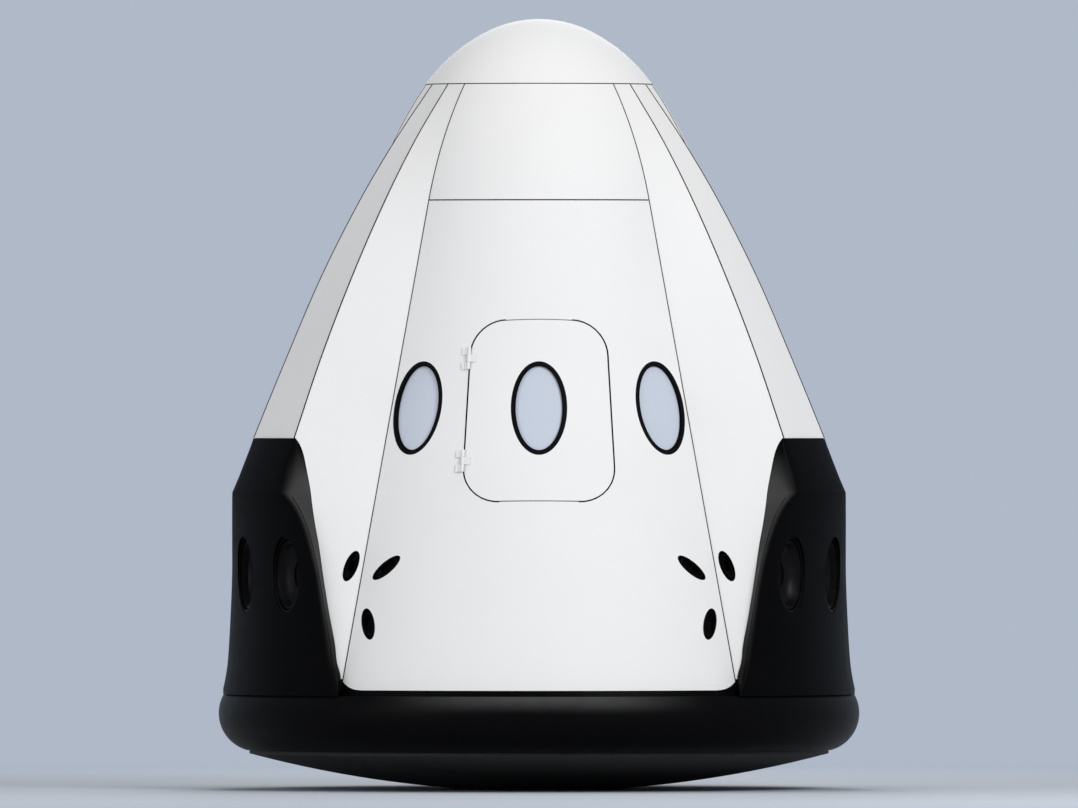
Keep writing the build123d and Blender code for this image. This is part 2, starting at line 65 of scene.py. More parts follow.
def skinRadius(z, inset=0.0):
    joinZ = skin["coverSeamZ"] - inset * coneUp
    if z > joinZ:
        return ogiveCentre[0] + math.sqrt((ogiveR - inset) ** 2 - (z - ogiveCentre[1]) ** 2)
    return skin["coverSeamR"] - inset * coneOut + (joinZ - z) * coneUp / coneOut


def onSkin(angle, z, lift=0.0):
    a = math.radians(angle)
    r = skinRadius(z, -lift)
    return Vector((r * math.sin(a), -r * math.cos(a), z))


def skinNormal(angle, z):
    return (onSkin(angle, z, 0.01) - onSkin(angle, z)).normalized()


def normalAt(point):
    return skinNormal(math.degrees(math.atan2(point.x, -point.y)), point.z)


# finishes
def newFinish(name, rough=0.5, metal=0.0):
    mat = bpy.data.materials.new(name)
    mat.use_nodes = True
    tree = mat.node_tree
    shader = tree.nodes["Principled BSDF"]
    shader.inputs["Roughness"].default_value = rough
    shader.inputs["Metallic"].default_value = metal
    where = tree.nodes.new("ShaderNodeTexCoord")
    return mat, tree, shader, where.outputs["Object"]


def addNoise(tree, where, scale, detail):
    noise = tree.nodes.new("ShaderNodeTexNoise")
    noise.inputs["Scale"].default_value = scale
    noise.inputs["Detail"].default_value = detail
    noise.inputs["Roughness"].default_value = 0.55
    tree.links.new(where, noise.inputs["Vector"])
    return noise.outputs["Fac"]


def addRamp(tree, fac, stops):
    ramp = tree.nodes.new("ShaderNodeValToRGB")
    tree.links.new(fac, ramp.inputs["Fac"])
    for element, (place, colour) in zip(ramp.color_ramp.elements, stops):
        element.position = place
        element.color = (*colour, 1.0)
    return ramp.outputs["Color"]


# two tones in soft patches
def addPatches(tree, where, scale, detail, dark, light):
    return addRamp(tree, addNoise(tree, where, scale, detail), [(0.3, dark), (0.7, light)])


def addRange(tree, fac, low, high):
    span = tree.nodes.new("ShaderNodeMapRange")
    span.inputs["To Min"].default_value = low
    span.inputs["To Max"].default_value = high
    tree.links.new(fac, span.inputs["Value"])
    return span.outputs["Result"]


def addBump(tree, shader, height, strength, distance):
    bump = tree.nodes.new("ShaderNodeBump")
    bump.inputs["Strength"].default_value = strength
    bump.inputs["Distance"].default_value = distance
    tree.links.new(height, bump.inputs["Height"])
    tree.links.new(bump.outputs["Normal"], shader.inputs["Normal"])


def softStep(tree, value, low, high, start=0.0, end=1.0):
    span = tree.nodes.new("ShaderNodeMapRange")
    span.interpolation_type = "SMOOTHSTEP"
    for name, number in (("From Min", low), ("From Max", high), ("To Min", start), ("To Max", end)):
        span.inputs[name].default_value = number
    tree.links.new(value, span.inputs["Value"])
    return span.outputs["Result"]


def addMath(tree, operation, *values):
    calc = tree.nodes.new("ShaderNodeMath")
    calc.operation = operation
    for value, socket in zip(values, calc.inputs):
        tree.links.new(value, socket)
    return calc.outputs["Value"]


def mixColours(tree, first, second, blend="MIX", mask=None):
    mix = tree.nodes.new("ShaderNodeMix")
    mix.data_type = "RGBA"
    mix.blend_type = blend
    mix.inputs["Factor"].default_value = 1.0
    if mask is not None:
        tree.links.new(mask, mix.inputs["Factor"])
    tree.links.new(first, mix.inputs["A"])
    tree.links.new(second, mix.inputs["B"])
    return mix.outputs["Result"]


def splitVector(tree, vector):
    split = tree.nodes.new("ShaderNodeSeparateXYZ")
    tree.links.new(vector, split.inputs["Vector"])
    return split.outputs


def scaled(colour, factor):
    return tuple(c * factor for c in colour)


# painted highlight along the pods' rounded edges, from a per-point attribute on the mesh
def edgeHighlightMask(tree):
    highlightLevel = tree.nodes.new("ShaderNodeAttribute")
    highlightLevel.attribute_name = "edgeHighlight"
    return highlightLevel.outputs["Fac"]


# painted highlight where the rim faces up, strongest below the front and rear panels and fading to the
# sides
rimHighlight = dict(levelLow=0.02, levelHigh=0.50, sideLow=0.2, sideHigh=1.1)


def rimHighlightMask(tree, where):
    surface = tree.nodes.new("ShaderNodeNewGeometry")
    up = splitVector(tree, surface.outputs["Normal"])["Z"]
    level = softStep(tree, up, rimHighlight["levelLow"], rimHighlight["levelHigh"])
    sideways = addMath(tree, "ABSOLUTE", splitVector(tree, where)["X"])
    middle = softStep(tree, sideways, rimHighlight["sideLow"], rimHighlight["sideHigh"], 1.0, 0.0)
    return addMath(tree, "MULTIPLY", level, middle)


# one paint: colour drifts a little, so does the gloss, the surface has a fine tooth, and a painted
# highlight may lie over it
paint = dict(highlightScale=7.0, highlightDark=0.8, glossScale=6, glossDrift=0.06, toothStrength=0.25)


def mottledFinish(
    name, colour, rough, drift=0.03, drifts=1.7, tooth=240.0, toothDeep=0.0004,
    metal=0.0, shine=0.5, highlightColour=None, topHighlight=False,
):
    mat, tree, shader, where = newFinish(name, rough, metal)
    shade = addPatches(tree, where, drifts, 5.0, scaled(colour, 1 - drift), colour)
    if highlightColour:  # painted highlight: lighter along the pods' edges or on the rim's top
        patch = addPatches(tree, where, paint["highlightScale"], 5.0, scaled(highlightColour, paint["highlightDark"]), highlightColour)
        shade = mixColours(tree, shade, patch, mask=rimHighlightMask(tree, where) if topHighlight else edgeHighlightMask(tree))
    tree.links.new(shade, shader.inputs["Base Color"])
    gloss = addNoise(tree, where, drifts * paint["glossScale"], 3.0)
    gloss = addRange(tree, gloss, rough - paint["glossDrift"], rough + paint["glossDrift"])
    tree.links.new(gloss, shader.inputs["Roughness"])
    addBump(tree, shader, addNoise(tree, where, tooth, 2.0), paint["toothStrength"], toothDeep)
    shader.inputs["Specular IOR Level"].default_value = shine
    return mat


# square tiles in staggered rows, some darker, with sunk joints and fine specks
tiles = dict(
    size=0.30, joint=0.006, jointSoft=0.2, rough=0.7, darker=0.72, jointDark=0.3,
    speckScale=38.0, speckDark=(0.6, 0.6, 0.6), speckLight=(1.0, 1.0, 1.0), relief=0.6, deep=0.004,
)


def tileFinish(name, colour):
    mat, tree, shader, where = newFinish(name, tiles["rough"])
    brick = tree.nodes.new("ShaderNodeTexBrick")
    brick.offset = 0.5
    brick.inputs["Scale"].default_value = 1.0
    brick.inputs["Brick Width"].default_value = tiles["size"]
    brick.inputs["Row Height"].default_value = tiles["size"]
    brick.inputs["Mortar Size"].default_value = tiles["joint"]
    brick.inputs["Mortar Smooth"].default_value = tiles["jointSoft"]
    for socket, share in (("Color1", 1.0), ("Color2", tiles["darker"]), ("Mortar", tiles["jointDark"])):
        brick.inputs[socket].default_value = (*scaled(colour, share), 1)
    tree.links.new(where, brick.inputs["Vector"])
    specks = addNoise(tree, where, tiles["speckScale"], 6.0)
    specks = addRamp(tree, specks, [(0.25, tiles["speckDark"]), (0.75, tiles["speckLight"])])
    shade = mixColours(tree, brick.outputs["Color"], specks, "MULTIPLY")
    tree.links.new(shade, shader.inputs["Base Color"])
    addBump(tree, shader, brick.outputs["Color"], tiles["relief"], tiles["deep"])
    return mat


# pale glass with a thin haze
glass = dict(rough=0.2, tintScale=0.8, tintDark=0.95, hazeScale=9.0, hazeLow=0.16, hazeHigh=0.24)


def glassFinish(name, colour):
    mat, tree, shader, where = newFinish(name, glass["rough"])
    tint = addPatches(tree, where, glass["tintScale"], 2.0, scaled(colour, glass["tintDark"]), colour)
    tree.links.new(tint, shader.inputs["Base Color"])
    haze = addNoise(tree, where, glass["hazeScale"], 4.0)
    haze = addRange(tree, haze, glass["hazeLow"], glass["hazeHigh"])
    tree.links.new(haze, shader.inputs["Roughness"])
    return mat


finishes = dict(
    skin_white=mottledFinish("whitePaint", (0.80, 0.80, 0.80), 0.64, 0.02, shine=0.22),
    heat_shield_black=tileFinish("shieldTile", (0.009, 0.0088, 0.0085)),
    # rim: near-black with a painted highlight on its top, below the front and rear panels
    rim_black=mottledFinish(
        "rimBlack", (0.003, 0.003, 0.0032), 0.40, 0.25, 4.0, shine=0.03,
        highlightColour=(0.060, 0.060, 0.060), topHighlight=True,
    ),
    # pods: near-black paint with a painted highlight along their rounded edges
    pod_black=mottledFinish(
        "podBlack", (0.0026, 0.0026, 0.0028), 0.40, 0.25, 3.0, shine=0.02,
        highlightColour=(0.055, 0.055, 0.055),
    ),
    nozzle_metal=mottledFinish(
        "nozzleMetal", (0.010, 0.0095, 0.010), 0.42, 0.4, 14.0, metal=0.6, shine=0.1,
    ),
    window_ring_black=mottledFinish("windowRing", (0.002, 0.002, 0.0022), 0.6, 0.2, 20.0, shine=0.06),
    window_glass=glassFinish("windowGlass", (0.55, 0.60, 0.69)),
    hinge_white=mottledFinish("hingePaint", (0.78, 0.78, 0.78), 0.5, 0.03, 9.0),
    docking_metal=mottledFinish("dockingMetal", (0.47, 0.48, 0.50), 0.44, 0.12, 18.0, metal=0.9),
    cabin_grey=mottledFinish("cabinGrey", (0.42, 0.43, 0.45), 0.6, 0.06, 6.0),
    seat_shell=mottledFinish("seatShell", (0.06, 0.06, 0.066), 0.4, 0.2, 12.0),
    seal_black=mottledFinish("sealBlack", (0.002, 0.002, 0.002), 0.8, 0.2, 30.0, shine=0.04),
    pad_cloth=mottledFinish("padCloth", (0.34, 0.35, 0.37), 0.85, 0.12, 40.0, 900.0, 0.0012, shine=0.2),
    strap_web=mottledFinish("strapWeb", (0.045, 0.047, 0.052), 0.8, 0.2, 60.0, 700.0, 0.0015, shine=0.2),
)
nodeFinish = {part["node"]: part["material_slot"] for part in frame["record"]["subparts"]}
nodeFinish["heat_shield_rim"] = "rim_black"
for name, node in nodes.items():
    node.data.materials.clear()
    node.data.materials.append(finishes[nodeFinish[name]])
print("finishes made:", len(finishes))

# small rounded edges on plain fittings
rounding = dict(
    seat_1=0.022, seat_2=0.022, seat_3=0.022, seat_4=0.022, seat_beam=0.010, docking_ring=0.004,
    docking_petals=0.005, forward_hatch=0.006, nose_hinge_bracket=0.004, nose_hinge_arm=0.004,
)
for name, radius in rounding.items():
    bevel = nodes[name].modifiers.new("edges", "BEVEL")
    bevel.width = radius
    bevel.segments = 3
    bevel.limit_method = "ANGLE"
    bevel.angle_limit = math.radians(40)


# meshes
def faceOutward(mesh):
    sorter = bmesh.new()
    sorter.from_mesh(mesh)
    bmesh.ops.recalc_face_normals(sorter, faces=sorter.faces)
    sorter.to_mesh(mesh)
    sorter.free()


def smoothSides(mesh, sharp):
    mesh.shade_smooth()
    mesh.set_sharp_from_angle(angle=math.radians(sharp))


def addPiece(name, shape, finish, body, sharp=30.0):
    mesh = bpy.data.meshes.new(name)
    mesh.from_pydata([tuple(v) for v in shape[0]], [], shape[1])
    mesh.validate()
    faceOutward(mesh)
    smoothSides(mesh, sharp)
    mesh.materials.append(finishes[finish])
    piece = bpy.data.objects.new(name, mesh)
    bpy.context.scene.collection.objects.link(piece)
    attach(piece, body)
    return piece


# cuts a closed shape out of a piece
def carve(piece, shape, sharp=30.0):
    cutter = bpy.data.objects.new("cutter", bpy.data.meshes.new("cutter"))
    cutter.data.from_pydata([tuple(v) for v in shape[0]], [], shape[1])
    faceOutward(cutter.data)
    bpy.context.scene.collection.objects.link(cutter)
    cut = piece.modifiers.new("cut", "BOOLEAN")
    cut.operation = "DIFFERENCE"
    cut.solver = "EXACT"
    cut.object = cutter
    graph = bpy.context.evaluated_depsgraph_get()
    mesh = bpy.data.meshes.new_from_object(piece.evaluated_get(graph), depsgraph=graph)
    piece.modifiers.clear()
    piece.data = mesh
    bpy.data.objects.remove(cutter)
    smoothSides(mesh, sharp)


def steps(low, high, count):
    return [low + (high - low) * i / (count - 1) for i in range(count)]


def turnsOf(count):
    return steps(0, 2 * math.pi, count + 1)[:-1]


# rings of points joined into a skin; ends are closed unless the path is a loop
def sweepRings(rings, loop=False):
    verts = [p for ring in rings for p in ring]
    count = len(rings[0])
    faces = []
    for i in range(len(rings) if loop else len(rings) - 1):
        j = (i + 1) % len(rings)
        for k in range(count):
            n = (k + 1) % count
            faces.append((i * count + k, i * count + n, j * count + n, j * count + k))
    if not loop:
        faces.append(tuple(range(count)))
        faces.append(tuple((len(rings) - 1) * count + k for k in reversed(range(count))))
    return verts, faces


def joinShapes(shapes):
    verts, faces = [], []
    for shapeVerts, shapeFaces in shapes:
        start = len(verts)
        verts += shapeVerts
        faces += [tuple(i + start for i in face) for face in shapeFaces]
    return verts, faces


# a flat strip along points, with the way it faces at each
def strip(points, normals, wide, lift, deep, loop=False):
    rings = []
    last = len(points) - 1
    for i, (point, normal) in enumerate(zip(points, normals)):
        before = points[i - 1] if i or loop else points[0]
        after = points[(i + 1) % len(points)] if i < last or loop else points[last]
        side = (after - before).cross(normal).normalized() * (wide / 2)
        top = point + normal * lift
        low = point - normal * deep
        rings.append([top - side, top + side, low + side, low - side])
    return sweepRings(rings, loop)


def bead(points, radius, around=6):
    rings = []
    for i, point in enumerate(points):
        along = (points[min(i + 1, len(points) - 1)] - points[max(i - 1, 0)]).normalized()
        side = along.orthogonal().normalized()
        up = along.cross(side)
        turns = turnsOf(around)
        rings.append([point + side * radius * math.cos(t) + up * radius * math.sin(t) for t in turns])
    return sweepRings(rings)


# a point at a turn round the capsule's axis
def spoke(turn, radius, z):
    return Vector((radius * math.sin(turn), -radius * math.cos(turn), z))


# a section turned round the capsule's axis
def ringShape(section, count=96):
    return sweepRings([[spoke(turn, r, z) for r, z in section] for turn in turnsOf(count)], True)


def squareSection(inR, outR, lowZ, topZ):
    return [(inR, lowZ), (outR, lowZ), (outR, topZ), (inR, topZ)]


def roundSection(radius, z, thick):
    return [(radius + thick * math.cos(t), z + thick * math.sin(t)) for t in turnsOf(12)]


# a short bolt head: its foot, the way it points, size; its top edge is cut off
boltSteps = ((1.0, 0.0), (1.0, 0.75), (0.82, 1.0))  # share of the radius, share of the height


def boltShape(foot, up, radius, tall, sides=6):
    side = up.orthogonal().normalized()
    across = up.cross(side)
    outs = [side * math.cos(t) + across * math.sin(t) for t in turnsOf(sides)]
    rings = []
    for share, rise in boltSteps:
        rings.append([foot + up * tall * rise + out * radius * share for out in outs])
    return sweepRings(rings)


# a block with its own axes: middle, half sizes along them
def blockShape(middle, axes, halves):
    a, b, c = [axis * half for axis, half in zip(axes, halves)]
    square = ((-1, -1), (1, -1), (1, 1), (-1, 1))
    return sweepRings([[middle + b * u + c * v + a * end for u, v in square] for end in bothSides])


def turnedBy(angle, verts):
    turn = Matrix.Rotation(math.radians(angle - 90), 3, "Z")
    return [turn @ v for v in verts]


def turnedShape(angle, shape):
    return turnedBy(angle, shape[0]), shape[1]


def clamp(share):
    return max(0.0, min(1.0, share))


# smooth value between a table's rows, whose first column is the height
def tableAt(table, z, column):
    rows = sorted(table)
    i = max(0, min(len(rows) - 2, sum(row[0] <= z for row in rows) - 1))

    def slope(k):
        low, high = max(k - 1, 0), min(k + 1, len(rows) - 1)
        return (rows[high][column] - rows[low][column]) / (rows[high][0] - rows[low][0])

    span = rows[i + 1][0] - rows[i][0]
    t = clamp((z - rows[i][0]) / span)
    start, end = rows[i][column], rows[i + 1][column]
    bend = (t**3 - 2 * t**2 + t) * slope(i) + (t**3 - t**2) * slope(i + 1)
    return start * (2 * t**3 - 3 * t**2 + 1) + end * (3 * t**2 - 2 * t**3) + bend * span


# pods: white fairing above, black engine pod below
pod = dict(
    # height, ridge distance, ridge half width
    ridge=[
        (4.376, 0.722, 0.103), (4.056, 0.950, 0.129), (3.675, 1.186, 0.164), (3.200, 1.440, 0.199),
        (2.700, 1.671, 0.223), (2.194, 1.885, 0.262), (1.856, 2.024, 0.277), (1.525, 2.158, 0.294),
        (1.087, 2.322, 0.316), (0.631, 2.485, 0.340),
    ],
    # height, share of the flank that stays white
    share=[
        (2.194, 0.985), (2.165, 0.930), (2.105, 0.853), (1.997, 0.757), (1.873, 0.660),
        (1.775, 0.598), (1.669, 0.530), (1.525, 0.437), (1.337, 0.335), (1.087, 0.203),
        (0.914, 0.112), (0.806, 0.070), (0.728, 0.022), (0.690, 0.010), (0.631, 0.010),
    ],
    # height, outer face distance, outer face half width
    face=[
        (2.194, 1.884, 0.284), (1.856, 2.006, 0.339), (1.775, 1.966, 0.411), (1.669, 1.935, 0.468),
        (1.525, 1.908, 0.516), (1.337, 1.882, 0.564), (1.087, 1.865, 0.614), (0.806, 1.852, 0.672),
        (0.690, 1.843, 0.722), (0.631, 1.838, 0.757),
    ],
    shoulderZ=1.856, topZ=2.194, rimZ=0.594, gap=0.003, footGap=0.12, footStep=0.0005,
    pocketStand=0.025, pocketShare=0.6, bulgeZ=4.10, crisp=7.0, arcPoints=9,
    # rounded edge below the shoulder, softer slope above it
    edgeRound=0.030, edgeShare=0.4, topRound=0.040, topShare=0.7, softLow=0.04, softTall=0.14,
    roundSteps=(0.2, 0.4, 0.6, 0.8, 1.0),
    # painted highlight along the rounded edge, at the white and at the pocket's floor
    highlightShares=(0.05, 0.15, 0.35, 0.65, 0.85, 1.0, 0.0),
    highlightTopZ=2.11, highlightTopFade=0.18, highlightLowZ=0.70, highlightLowFade=0.50,
)
footAngle = math.radians(skin["podHalf"] - pod["footGap"])


# the fairing's foot on the skin, and a point on its flat flank
def flank(z, share):
    outer = skinRadius(z)
    footOut = Vector((outer * math.cos(footAngle), outer * math.sin(footAngle)))
    ridge = Vector((tableAt(pod["ridge"], z, 1), tableAt(pod["ridge"], z, 2)))
    return footOut, footOut + (ridge - footOut) * share


def podShare(z):
    return tableAt(pod["share"], z, 1)


def wallArc(z):
    r = skinRadius(z, skin["wall"])
    angles = steps(footAngle, -footAngle, pod["arcPoints"])
    return [Vector((r * math.cos(a), r * math.sin(a))) for a in angles]


def fairingRing(z, upper):
    footOut, edge = flank(z, 1.0 if upper else podShare(z))
    crown = edge.x if upper else skinRadius(z) + pod["pocketStand"]
    half = [footOut, (footOut + edge) / 2, edge]
    half += [Vector((crown, edge.y * pod["pocketShare"])), Vector((crown, 0))]
    bulge = max(0.0, (z - pod["bulgeZ"]) / (skin["wallTopZ"] - pod["bulgeZ"])) ** 2
    for i in (1, 3, 4):  # the flat sides swell to the round bulkhead at the top
        half[i] = half[i].lerp(half[i].normalized() * skinRadius(z), bulge)
    outline = [Vector((p.x, -p.y)) for p in half[:4]] + list(reversed(half)) + wallArc(z)
    return [Vector((p.x, p.y, z)) for p in outline]


# the slope above the shoulder is straight, and below it the edge sweeps out in a curve
def podFace(z):
    if z >= pod["shoulderZ"]:
        (topZ, topD, topHalf), (lowZ, lowD, lowHalf) = pod["face"][:2]
        t = (z - lowZ) / (topZ - lowZ)
        return lowD + (topD - lowD) * t, lowHalf + (topHalf - lowHalf) * t
    return tableAt(pod["face"][1:], z, 1), tableAt(pod["face"][1:], z, 2)


def podRing(z):
    edge = flank(z, podShare(z))[1]
    floor = Vector((skinRadius(z) + pod["pocketStand"], edge.y * pod["pocketShare"]))
    side = (edge - floor).normalized()
    edge = edge + Vector((side.y, -side.x)) * pod["gap"]
    floor = floor + Vector((pod["gap"], -pod["gap"]))
    distance, half = podFace(z)
    outer = math.hypot(distance, half)
    corner = Vector((distance, half))
    back = edge - corner
    soft = clamp((z - pod["shoulderZ"] + pod["softLow"]) / pod["softTall"])
    setback = min(pod["edgeRound"], pod["edgeShare"] * back.length) * (1 - soft)
    setback += pod["topShare"] * back.length * soft
    swing = math.atan2(half, distance) - (pod["edgeRound"] * (1 - soft) + pod["topRound"] * soft) / outer
    angles = steps(-swing, swing, pod["arcPoints"])
    arc = [Vector((outer * math.cos(a), outer * math.sin(a))) for a in angles]
    last = corner + back.normalized() * setback
    bend = [arc[-1] * (1 - t) ** 2 + corner * 2 * t * (1 - t) + last * t**2 for t in pod["roundSteps"]]
    flankPoints = bend + [edge, floor]
    whole = arc + flankPoints + [Vector((p.x, -p.y)) for p in reversed(flankPoints)]
    return [Vector((p.x, p.y, z)) for p in whole]


# how strong the painted highlight is at each point of a pod's ring: none on the outer face, most beside
# the white
def podEdgeHighlight(z):
    fade = clamp((pod["highlightTopZ"] - z) / pod["highlightTopFade"])
    fade *= clamp((z - pod["highlightLowZ"]) / pod["highlightLowFade"])
    half = [fade * highlightLevel for highlightLevel in pod["highlightShares"]]
    return [0.0] * pod["arcPoints"] + half + half[::-1]


# foot of the pod, which comes down to the rim outside the base ring
def skirtRing(z, least):
    ring = []
    for point in podRing(skin["baseZ"]):
        out = max(1.0, least / math.hypot(point.x, point.y))
        ring.append(Vector((point.x * out, point.y * out, z)))
    return ring


# engine outlets: ovals on the pod's outer face
nozzle = dict(
    z=1.345, side=0.265, wide=0.135, tall=0.235, floorR=1.850, cutR=2.3, floorShares=(0.5, 0.05),
)


def nozzleRing(side, share, radius):
    ring = []
    for turn in turnsOf(40):
        y = side * nozzle["side"] + nozzle["wide"] * share * math.cos(turn)
        z = nozzle["z"] + nozzle["tall"] * share * math.sin(turn)
        ring.append(Vector((math.sqrt(radius**2 - y**2), y, z)))
    return ring


# thruster outlets seen from the front: sideways place, height, half length, half width, tilt
port = dict(
    rows=[
        (1.166, 1.400, 0.101, 0.041, 112.0),  # on the fairing, the others are on the panel
        (0.947, 1.390, 0.110, 0.036, 139.3),
        (1.060, 1.041, 0.098, 0.041, 82.6),
    ],
    deep=0.062, cutOut=0.5, floorShares=(1.0, 0.5, 0.05),
)


# how far in front of the middle the skin or a fairing's flank lies, for a place seen from the front
def skinOut(inset):
    return lambda x, z: math.sqrt(skinRadius(z, inset) ** 2 - x**2)


def flankOut(inset):
    turn = math.radians(90 - skin["podAngle"])
    c, s = math.cos(turn), math.sin(turn)

    def out(x, z):
        foot, ridge = [(p.x * c - p.y * s, p.x * s + p.y * c) for p in flank(z, 1.0)]
        share = (x - foot[0]) / (ridge[0] - foot[0])
        return foot[1] + (ridge[1] - foot[1]) * share - inset

    return out


def portRing(row, sides, share, out):
    x, z, halfLong, halfWide, tilt = row
    lean = math.radians(tilt)
    ring = []
    for turn in turnsOf(32):
        long, wide = halfLong * share * math.cos(turn), halfWide * share * math.sin(turn)
        px = x + long * math.cos(lean) - wide * math.sin(lean)
        pz = z + long * math.sin(lean) + wide * math.cos(lean)
        ring.append(Vector((sides[0] * px, -sides[1] * out(px, pz), pz)))
    return ring


upperSteps = steps(skin["wallTopZ"], pod["topZ"], 34)
lowerSteps = steps(pod["topZ"], pod["shoulderZ"], 19) + steps(pod["shoulderZ"], skin["baseZ"], 44)[1:]
fairingRings = [fairingRing(z, True) for z in upperSteps] + [fairingRing(z, False) for z in lowerSteps]
fairingShape = sweepRings(fairingRings)
podSteps = [pod["topZ"] - pod["gap"]] + lowerSteps[1:]
podRings = [podRing(z) for z in podSteps]
footR = skinRadius(pod["rimZ"]) + pod["gap"]
skirtSteps = [skin["baseZ"] - pod["footStep"], pod["rimZ"] + pod["footStep"]]
podShape = sweepRings(podRings + [skirtRing(z, footR) for z in skirtSteps])
podEdgeHighlights = [highlightLevel for z in podSteps + skirtSteps for highlightLevel in podEdgeHighlight(z)]
for corner, angle in corners.items():
    sides = cornerSides[corner]
    fairing = addPiece(
        f"fairing_{corner}", turnedShape(angle, fairingShape), "skin_white", "capsule", pod["crisp"]
    )
    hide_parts(f"pod_fairing_{corner}")
    row, deep = port["rows"][0], skinOut(port["deep"])
    cutRings = [portRing(row, sides, 1.0, flankOut(-port["cutOut"]))]
    cutRings += [portRing(row, sides, share, deep) for share in port["floorShares"]]
    carve(fairing, sweepRings(cutRings), pod["crisp"])
    engine = addPiece(f"pod_{corner}", turnedShape(angle, podShape), "pod_black", "capsule")
    # each pod carries its painted edge highlight as a per-point attribute
    engine.data.attributes.new("edgeHighlight", "FLOAT", "POINT").data.foreach_set("value", podEdgeHighlights)
    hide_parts(f"engine_pod_{corner}")
    for side in bothSides:
        cutRings = [nozzleRing(side, 1.0, nozzle["cutR"]), nozzleRing(side, 1.0, nozzle["floorR"])]
        cutRings += [nozzleRing(side, share, nozzle["floorR"]) for share in nozzle["floorShares"]]
        carve(engine, turnedShape(angle, sweepRings(cutRings)))
print("pods made")

# bells inside the outlets: share of the oval, depth
bell = dict(
    nozzle=[(0.90, 0.012), (0.80, 0.055), (0.60, 0.080), (0.40, 0.088)],
    port=[(0.78, 0.010), (0.62, 0.035), (0.40, 0.048)],
    wall=0.05, lip=0.002, faceR=1.9575,
    # a sleeve from the flank's outlet to the skin below it
    sleeveOut=0.995, sleeveIn=0.93, sleeveTop=0.002, sleeveLow=0.012,
)


# out along the back and in along the front
def bellShape(profile, ringAt):
    back = [ringAt(share, depth) for share, depth in profile]
    front = [ringAt(share - bell["wall"], depth - bell["lip"]) for share, depth in reversed(profile)]
    return sweepRings(back + front, True)


def sleeveShape(sides):
    top, low = flankOut(bell["sleeveTop"]), skinOut(bell["sleeveLow"])
    section = [("sleeveOut", top), ("sleeveOut", low), ("sleeveIn", low), ("sleeveIn", top)]
    row = port["rows"][0]
    return sweepRings([portRing(row, sides, bell[share], out) for share, out in section], True)


def nozzleBell(side):
    return bellShape(bell["nozzle"], lambda share, depth: nozzleRing(side, share, bell["faceR"] - depth))


def portBell(row, sides, surface):
    return bellShape(bell["port"], lambda share, depth: portRing(row, sides, share, surface(depth)))


for corner, angle in corners.items():
    sides = cornerSides[corner]
    shapes = [turnedShape(angle, nozzleBell(side)) for side in bothSides]
    for row, surface in zip(port["rows"], (flankOut, skinOut, skinOut)):
        shapes.append(portBell(row, sides, surface))
    shapes.append(sleeveShape(sides))
    addPiece(f"bells_{corner}", joinShapes(shapes), "nozzle_metal", "capsule")
print("bells made")

# seals: beads along the fairings' feet and ridges, flat strips over the level gaps
seal = dict(wide=0.0085, lift=0.0007, deep=0.003, beadR=0.0038, sink=0.001, topZ=4.399, sharp=40.0)


def meridianBead(angle):
    heights = steps(skin["baseZ"], seal["topZ"], 120)
    return bead([onSkin(angle, z, -seal["sink"]) for z in heights], seal["beadR"])


def ridgeBead(angle, side):
    ridge = pod["ridge"]
    edge = [Vector((tableAt(ridge, z, 1), side * tableAt(ridge, z, 2), z)) for z in upperSteps]
    last = Vector((edge[0].x, edge[0].y, 0)).normalized() * skinRadius(seal["topZ"])
    edge.insert(0, Vector((last.x, last.y, seal["topZ"])))
    return bead(turnedBy(angle, edge), seal["beadR"])


def levelStrip(z, middle, half):
    angles = steps(middle - half, middle + half, 80)
    normals = [skinNormal(a, z) for a in angles]
    return strip([onSkin(a, z) for a in angles], normals, seal["wide"], seal["lift"], seal["deep"])


shapes = []
for angle in corners.values():
    for side in bothSides:
        shapes.append(meridianBead(angle + side * skin["podHalf"]))
        shapes.append(ridgeBead(angle, side))
for middle in (0, 180):
    shapes.append(levelStrip(skin["coverSeamZ"], middle, skin["podAngle"] - skin["podHalf"]))
addPiece("panel_seals", joinShapes(shapes), "seal_black", "capsule", seal["sharp"])

noseSeal = dict(inR=0.690, outR=0.7098, lowZ=4.3995, topZ=4.4042)
addPiece("nose_seal", ringShape(squareSection(**noseSeal)), "seal_black", "capsule")

# thin joints down the pods' rounded edges, where the round meets the flank
podJoint = dict(radius=0.0026, topZ=1.850, lowZ=0.720)
roundCount = len(pod["roundSteps"])
shapes = []
for angle in corners.values():
    for place in (pod["arcPoints"] + roundCount - 1, -roundCount):
        path = [ring[place] for ring in podRings if podJoint["lowZ"] < ring[place].z < podJoint["topZ"]]
        shapes.append(bead(turnedBy(angle, path), podJoint["radius"]))
addPiece("pod_edge_joints", joinShapes(shapes), "seal_black", "capsule", seal["sharp"])

# hatch: a rounded outline in the plane that touches the skin in the middle, carried back to the skin
hatch = dict(
    lowZ=1.819, topZ=2.919, lowHalf=0.475, topHalf=0.409, corner=0.210, draft=0.13, gap=0.006,
    sealWide=0.0052, sealInset=0.003, sealDeep=0.004, edgeOff=0.002, edgeWide=0.004,
    cornerSteps=10, rounds=4, slides=3, ease=0.9, leastOut=0.1,
)
hatchMidZ = (hatch["lowZ"] + hatch["topZ"]) / 2
hatchR = skinRadius(hatchMidZ)
hatchDrop = hatchR - math.sqrt(hatchR**2 - hatch["lowHalf"] ** 2)
hatchMiddle = Vector((0, -hatchR, hatchMidZ))
hatchOut = Vector((0, -coneOut, coneUp))
hatchUp = Vector((0, coneUp, coneOut))


